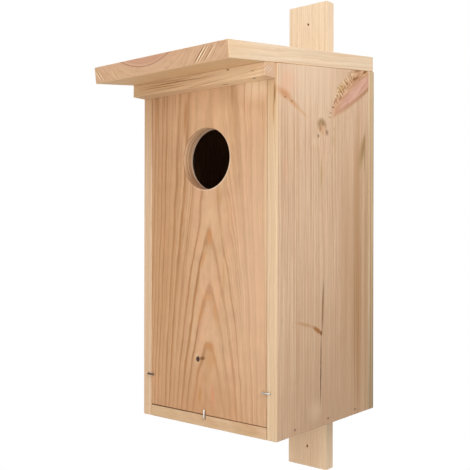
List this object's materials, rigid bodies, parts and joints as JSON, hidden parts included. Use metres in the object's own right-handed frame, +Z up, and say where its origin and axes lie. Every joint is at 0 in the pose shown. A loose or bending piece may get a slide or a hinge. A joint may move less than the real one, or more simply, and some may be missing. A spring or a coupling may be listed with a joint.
{
  "type": "bird nest box",
  "caption": "Upright wooden nest box with a sloping roof, round entrance, tilting front board held by bent turn nails, and a long mounting lath down the back.",
  "frame": {"origin": "centre of the mounting lath's back face, where it meets the tree", "axes": "+Y towards the tree, +Z up along the lath, +X to the right seen from the front; the entrance looks along -Y"},
  "size_m": [0.24, 0.3617, 0.744],
  "materials": {
    "front_pine": "planed pine, untreated, strong warm grain",
    "side_pine": "planed pine, untreated",
    "frame_pine": "sawn pine, untreated",
    "roof_pine": "planed pine, untreated, pale",
    "lath_pine": "sawn pine, untreated, pale",
    "brad_steel": "dull steel",
    "turn_nail_steel": "bright drawn steel"
  },
  "bodies": {
    "frame": {"left_side_panel": "side_pine", "right_side_panel": "side_pine", "back_panel": "side_pine", "floor_board": "frame_pine", "roof_board": "roof_pine", "top_batten": "frame_pine", "mounting_lath": "lath_pine", "left_floor_brad_1": "brad_steel", "left_floor_brad_2": "brad_steel", "left_floor_brad_3": "brad_steel", "left_back_brad_1": "brad_steel", "left_back_brad_2": "brad_steel", "left_back_brad_3": "brad_steel", "left_roof_brad_1": "brad_steel", "left_roof_brad_2": "brad_steel", "left_roof_brad_3": "brad_steel", "left_batten_brad": "brad_steel", "left_back_floor_brad": "brad_steel", "left_roof_back_brad": "brad_steel", "left_lath_brad_1": "brad_steel", "left_lath_brad_2": "brad_steel", "right_floor_brad_1": "brad_steel", "right_floor_brad_2": "brad_steel", "right_floor_brad_3": "brad_steel", "right_back_brad_1": "brad_steel", "right_back_brad_2": "brad_steel", "right_back_brad_3": "brad_steel", "right_roof_brad_1": "brad_steel", "right_roof_brad_2": "brad_steel", "right_roof_brad_3": "brad_steel", "right_batten_brad": "brad_steel", "right_back_floor_brad": "brad_steel", "right_roof_back_brad": "brad_steel", "right_lath_brad_1": "brad_steel", "right_lath_brad_2": "brad_steel"},
    "front": {"front_panel": "front_pine"},
    "left_nail": {"left_turn_nail": "turn_nail_steel"},
    "right_nail": {"right_turn_nail": "turn_nail_steel"},
    "bottom_nail": {"bottom_turn_nail": "turn_nail_steel"}
  },
  "joints": [
    {"name": "front_tilt", "type": "hinge", "parent": "frame", "child": "front", "pos_m": [0, -0.2672, 0.19694], "axis": [-1, 0, 0], "range_deg": [0, 30]},
    {"name": "left_nail_turn", "type": "hinge", "parent": "frame", "child": "left_nail", "pos_m": [-0.11, -0.2672, -0.2005], "axis": [0, 1, 0], "continuous": true},
    {"name": "right_nail_turn", "type": "hinge", "parent": "frame", "child": "right_nail", "pos_m": [0.11, -0.2672, -0.2005], "axis": [0, 1, 0], "continuous": true},
    {"name": "bottom_nail_turn", "type": "hinge", "parent": "frame", "child": "bottom_nail", "pos_m": [0, -0.2672, -0.249], "axis": [0, 1, 0], "continuous": true}
  ]
}
